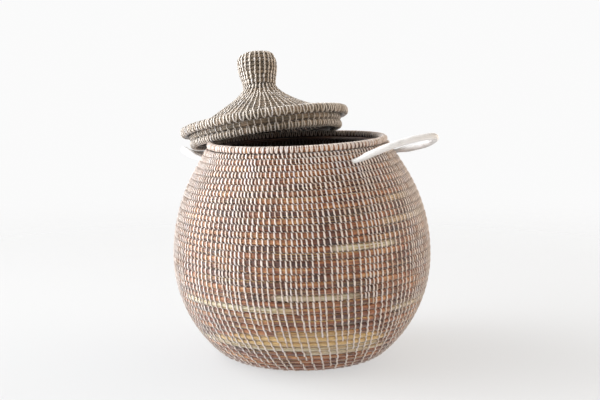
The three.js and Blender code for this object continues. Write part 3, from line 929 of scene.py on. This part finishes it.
def loop_line(azimuth, reach, lift, twist, count):
    """The middle line of a handle in the mouth's frame, from one strand on the hinge line to the other."""
    first = math.asin((sleeve_start / reach) ** (loop_squareness / 2))
    angle = np.linspace(first, math.pi - first, count)
    across = -np.sign(np.cos(angle)) * np.abs(np.cos(angle)) ** (2 / loop_squareness)
    along = np.abs(np.sin(angle)) ** (2 / loop_squareness)
    y = chord_half * across
    loop = np.stack([reach * along, y, -y * along * math.tan(math.radians(twist))], axis=1)
    loop = rotated(loop, (0, 0, 0), (0, 1, 0), -math.radians(lift)) + (chord_distance, 0, hinge_height)
    return rotated(loop, (0, 0, 0), (0, 0, 1), azimuth)


def root_line(azimuth, side, distances):
    """Points on the line along which a strand leaves the wall, so far out from the wall's outer face."""
    out_at = side * handle_half_angle
    place = np.array([root_radius * math.cos(out_at), root_radius * math.sin(out_at), root_height])
    leaves = np.array([math.cos(root_lift), 0, math.sin(root_lift)])
    return rotated(np.array([place + leaves * d for d in distances]), (0, 0, 0), (0, 0, 1), azimuth)


def evened(line, count, easing=3):
    """The same line with evenly spaced points, eased where it turns."""
    line = line.copy()
    for _ in range(easing):
        line[1:-1] = (line[:-2] + 2 * line[1:-1] + line[2:]) / 4
    steps = np.concatenate([[0], np.cumsum(np.linalg.norm(np.diff(line, axis=0), axis=1))])
    spread = np.linspace(0, steps[-1], count)
    return np.stack([np.interp(spread, steps, column) for column in line.T], axis=1), spread


def tube_places(line, around, wide, tall, roll=0.0):
    """Rings of points round a line, with their wide way level unless they are rolled."""
    ahead = np.gradient(line, axis=0)
    ahead /= np.linalg.norm(ahead, axis=1)[:, None]
    beside = np.cross(ahead, (0, 0, 1))
    beside /= np.linalg.norm(beside, axis=1)[:, None]
    over = np.cross(beside, ahead)
    around = around + np.broadcast_to(roll, len(line))[:, None]
    wide = np.broadcast_to(wide, around.shape) * np.cos(around)
    tall = np.broadcast_to(tall, around.shape) * np.sin(around)
    return line[:, None] + wide[:, :, None] * beside[:, None] + tall[:, :, None] * over[:, None]


def stand_rings(places):
    """Rings of points in the mouth's frame, laid in the scene's."""
    return stand_mouth(places.reshape(-1, 3)).reshape(places.shape)


def lay_strand(name, line, rings, sides, radius, finish):
    """A round strand along a line, in the mouth's frame."""
    line, spread = evened(line, rings, 0)
    tube, around = plain_tube(name, rings, sides)
    bend_tube(tube, stand_rings(tube_places(line, around, radius, radius)), spread * MM, around)
    tube.data.materials.append(finish)
    return tube


def leather_finish():
    """Thin white leather: fine grain, soft creases across the sleeve and painted shade that greys the
    folds.
    """
    finish = Finish("white_leather", roughness=0.48, specular=0.45)
    creases = finish.noise(finish.along_coil(55, 2.2), 3.0, 0.6)
    grain = finish.noise(finish.along_coil(700, 40, 2.0), 2.0, 0.5)
    # Painted shade: the colour greys where the crease noise dips, as the bump does
    stops = [(0.28, (0.52, 0.51, 0.50)), (0.46, (0.67, 0.67, 0.67)), (0.8, (0.74, 0.74, 0.75))]
    finish.set(Base_Color=finish.ramp(creases, stops), Roughness=0.4 + grain * 0.25)
    finish.bump(creases + grain * 0.15, 0.0010)
    return finish.material


def rope_finish():
    """Brown palm fibre, rough and dull."""
    finish = Finish("palm_rope", roughness=0.8, specular=0.2)
    fibres = finish.noise(finish.along_coil(90, 24), 3.0, 0.6)
    stops = [(0.3, (0.20, 0.12, 0.05)), (0.7, (0.50, 0.36, 0.19))]
    finish.set(Base_Color=finish.ramp(fibres, stops))
    finish.bump(fibres, 0.0008)
    return finish.material


def join(pieces, name):
    """Makes several pieces one."""
    deselect()
    for piece in pieces:
        piece.select_set(True)
    bpy.context.view_layer.objects.active = pieces[0]
    bpy.ops.object.join()
    pieces[0].name = pieces[0].data.name = name
    return pieces[0]


white_leather, palm_rope = leather_finish(), rope_finish()
for number, (side, azimuth, reach, lift, twist) in enumerate(handles):
    loop = loop_line(azimuth, reach, lift, twist, 90)
    ends = [root_line(azimuth, turn, sleeve_in_wall) for turn in (-1, 1)]
    rings, sides = 150, 16
    line, spread = evened(np.concatenate([ends[0], loop, ends[1][::-1]]), rings)
    sleeve, around = plain_tube(f"handle_{side}_leather", rings, sides)
    rng = np.random.default_rng(51 + number)
    rumple = rng.normal(0, 1, (rings, 1)) + rng.normal(0, 0.6, (rings, sides))
    for _ in range(4):
        rumple[1:-1] = (rumple[:-2] + 2 * rumple[1:-1] + rumple[2:]) / 4
        rumple = (np.roll(rumple, 1, axis=1) + 2 * rumple + np.roll(rumple, -1, axis=1)) / 4
    far = np.minimum(spread, spread[-1] - spread)[:, None]
    flat = smooth(far, 6, 30)
    gathered = 0.66 + 0.34 * smooth(far, 14, 38)
    half_wide = sleeve_thickness / 2 + (sleeve_width - sleeve_thickness) / 2 * flat
    wide = half_wide * gathered + rumple * rumple_depth
    tall = (sleeve_thickness / 2 - 0.3 * flat) * gathered + rumple * rumple_depth
    bend_tube(sleeve, stand_rings(tube_places(line, around, wide, tall)), spread * MM, around)
    sleeve.data.materials.append(white_leather)

    # Two points across the hinge line, a little before it and a little past it; nothing uses them
    bend_from, bend_to = -5.0, 9.0
    ahead = np.array([math.cos(azimuth), 0, 0])
    hinge = np.array([[chord_distance * math.cos(azimuth), 0, hinge_height]])
    start, end = (stand_mouth(hinge + ahead * d)[0] for d in (bend_from, bend_to))
    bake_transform(sleeve)
    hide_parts(f"handle_{side}_sleeve")

    # Three yarns of palm twisted together inside the sleeve
    rope_rings, yarn_sides = 120, 8
    yarn_out, yarn_radius = rope_thickness * 0.24, rope_thickness * 0.25
    rope_line, rope_spread = evened(loop, rope_rings, 0)
    yarns = []
    for yarn in range(3):
        turned = rope_spread / rope_lay * TURN + yarn * TURN / 3
        path = tube_places(rope_line, np.zeros(1), yarn_out, yarn_out, turned)[:, 0]
        yarns.append(lay_strand(f"yarn_{yarn}", path, rope_rings, yarn_sides, yarn_radius, palm_rope))
    rope = join(yarns, f"handle_{side}_twisted_rope")
    dress(rope, palm_rope, f"handle_{side}", "palm_rope", f"handle_{side}_rope")

    # Each strand's end goes through the wall and is tied in an overhand knot against its inner face
    for turn, end_name in [(-1, "front"), (1, "back")]:
        own = azimuth + turn * handle_half_angle
        level = np.array([math.cos(own), math.sin(own), 0])
        normal = level * math.cos(root_slope) + np.array([0, 0, math.sin(root_slope)])
        leaves = np.array([math.cos(azimuth) * math.cos(root_lift), 0, math.sin(root_lift)])
        depth = (body_coil + knot_gap) / float(leaves @ normal)
        beside = np.cross(normal, (0, 0, 1))
        beside /= np.linalg.norm(beside)
        over = np.cross(beside, normal)
        shank = root_line(azimuth, turn, np.linspace(root_show, -depth, 8))
        middle = shank[-1] - normal * knot_length / 2
        t = np.linspace(0.5, TURN - 0.35, 60)[:, None]
        reach_out = knot_width / 2 / 3 - 1.15
        tie = middle + reach_out * (np.sin(t) + 2 * np.sin(2 * t)) * beside
        tie = tie + reach_out * (np.cos(t) - 2 * np.cos(2 * t)) * over - knot_depth * np.sin(3 * t) * normal
        root_rings, root_sides = 110, 10
        line = evened(np.concatenate([shank, tie]), root_rings, 2)[0]
        root_name = f"handle_{side}_knot_{end_name}"
        root = lay_strand(root_name, line, root_rings, root_sides, knot_strand, white_leather)
        dress(root, white_leather, "basket", "white_leather", f"handle_{side}_root_{end_name}")


# Studio
# A white floor fades into a white room, which is bright as a window on the left. One soft light is at the
# window, and a low warm one stands for the light off the table. The camera is at the photograph's place.
# Lengths are in metres here.

deselect()
floor_fade_start, floor_fade_end = 0.75, 1.9
floor_glow = 0.53
bpy.ops.mesh.primitive_plane_add(size=2 * floor_fade_end + 0.2, location=(0, 0, 0))
floor = bpy.context.object
floor.name = "floor"
floor_finish = Finish("floor_white", roughness=0.9, specular=0.1)
floor_finish.set(Base_Color=(0.25, 0.26, 0.27, 1), Emission_Color=(1, 1, 1, 1))
floor_finish.set(Emission_Strength=floor_glow)
place = floor_finish.node("ShaderNodeTexCoord", {}, {}, 3)
distance = floor_finish.node("ShaderNodeVectorMath", {"operation": "LENGTH"}, {0: place}, 1)
faded = floor_finish.rise(distance, floor_fade_start, floor_fade_end)
shown = Wire(floor_finish, floor_finish.shader.outputs[0])
clear = floor_finish.node("ShaderNodeBsdfTransparent", {}, {})
mixed = floor_finish.node("ShaderNodeMixShader", {}, {0: faded, 1: shown, 2: clear})
floor_finish.join(mixed, floor_finish.tree.nodes["Material Output"].inputs["Surface"])
floor.data.materials.append(floor_finish.material)

right_azimuth = math.radians(30)
right = Vector((math.cos(right_azimuth), math.sin(right_azimuth), 0))
away = Vector((-math.sin(right_azimuth), math.cos(right_azimuth), 0))
upright = Vector((0, 0, 1))


def studio_point(x, y, z):
    """A place given as the camera sees it: to the right, away and up, in metres."""
    return right * x + away * y + upright * z


room_light, window_light, right_light, backdrop_light = 1.25, 9.8, 1.8, 0.96
white_light, warm_light = (1, 1, 1, 1), (1, 0.87, 0.74, 1)
window_turned = math.radians(6)

world = bpy.data.worlds.new("studio")
world.use_nodes = True
bpy.context.scene.world = world
surroundings = Nodes(world.node_tree)
direction = surroundings.node("ShaderNodeTexCoord", {}, {}, 0)


def facing(way):
    """How far a direction of the surroundings points a way: 1 is straight along it."""
    sockets = {0: direction, 1: way}
    return surroundings.node("ShaderNodeVectorMath", {"operation": "DOT_PRODUCT"}, sockets, 1)


to_window = facing(-right * math.cos(window_turned) - away * math.sin(window_turned))
to_right, to_camera, overhead = facing(right), facing(-away), facing(upright)
window = surroundings.rise(to_window, 0.45, 0.97) * window_light
right_wall = surroundings.rise(to_right, 0.0, 0.9) * right_light
dark_behind_camera = 1.0 - surroundings.rise(to_camera, -0.2, 0.8) * 0.8
dark_ceiling = 1.0 - surroundings.rise(overhead, 0.2, 0.95) * 0.6
room = (room_light + window + right_wall) * (dark_behind_camera * dark_ceiling)

# Seen directly, the room is an even white backdrop
seen = surroundings.node("ShaderNodeLightPath", {}, {}, 0)
warmth = surroundings.rise(to_right, -0.3, 0.6) * (1.0 - seen)
background = world.node_tree.nodes["Background"]
surroundings.join(surroundings.mix(warmth, white_light, warm_light), background.inputs["Color"])
surroundings.join(room + seen * (backdrop_light - room), background.inputs["Strength"])


def add_light(name, place, target, size, power, colour=(1, 1, 1)):
    """A square light, turned to its target."""
    data = bpy.data.lights.new(name, "AREA")
    data.shape, data.size, data.energy, data.color = "SQUARE", size, power, colour
    light = bpy.data.objects.new(name, data)
    light.location = place
    light.rotation_mode = "QUATERNION"
    light.rotation_quaternion = (target - place).to_track_quat("-Z", "Y")
    bpy.context.collection.objects.link(light)


add_light("window", studio_point(-1.0, 0.22, 1.2), studio_point(0, 0, 0.15), size=0.5, power=6)
glow_place, glow_target = studio_point(0.35, -1.1, 0.12), studio_point(0, 0, 0.12)
add_light("table_glow", glow_place, glow_target, size=0.6, power=4.2, colour=(1, 0.9, 0.8))

# The camera's place and angles are fitted to the photograph's outline, with its focal length in pixels
focal_pixels, frame_pixels, turned_pixels = 1116.3, 600, 2.06
camera_distance, camera_height = 1.7235, 0.4831
camera_pitch = math.radians(7.99)
camera_data = bpy.data.cameras.new("camera")
camera = bpy.data.objects.new("camera", camera_data)
bpy.context.collection.objects.link(camera)
bpy.context.scene.camera = camera
camera_data.sensor_width = 36
camera_data.lens = focal_pixels * camera_data.sensor_width / frame_pixels
camera_data.clip_end = 100
camera_yaw = math.atan(turned_pixels / focal_pixels)
camera.location = studio_point(0, -camera_distance, camera_height)
look = away * math.cos(camera_yaw) - right * math.sin(camera_yaw)
look = look * math.cos(camera_pitch) - upright * math.sin(camera_pitch)
camera.rotation_mode = "QUATERNION"
camera.rotation_quaternion = look.to_track_quat("-Z", "Y")
bpy.context.scene.view_settings.view_transform = "Standard"
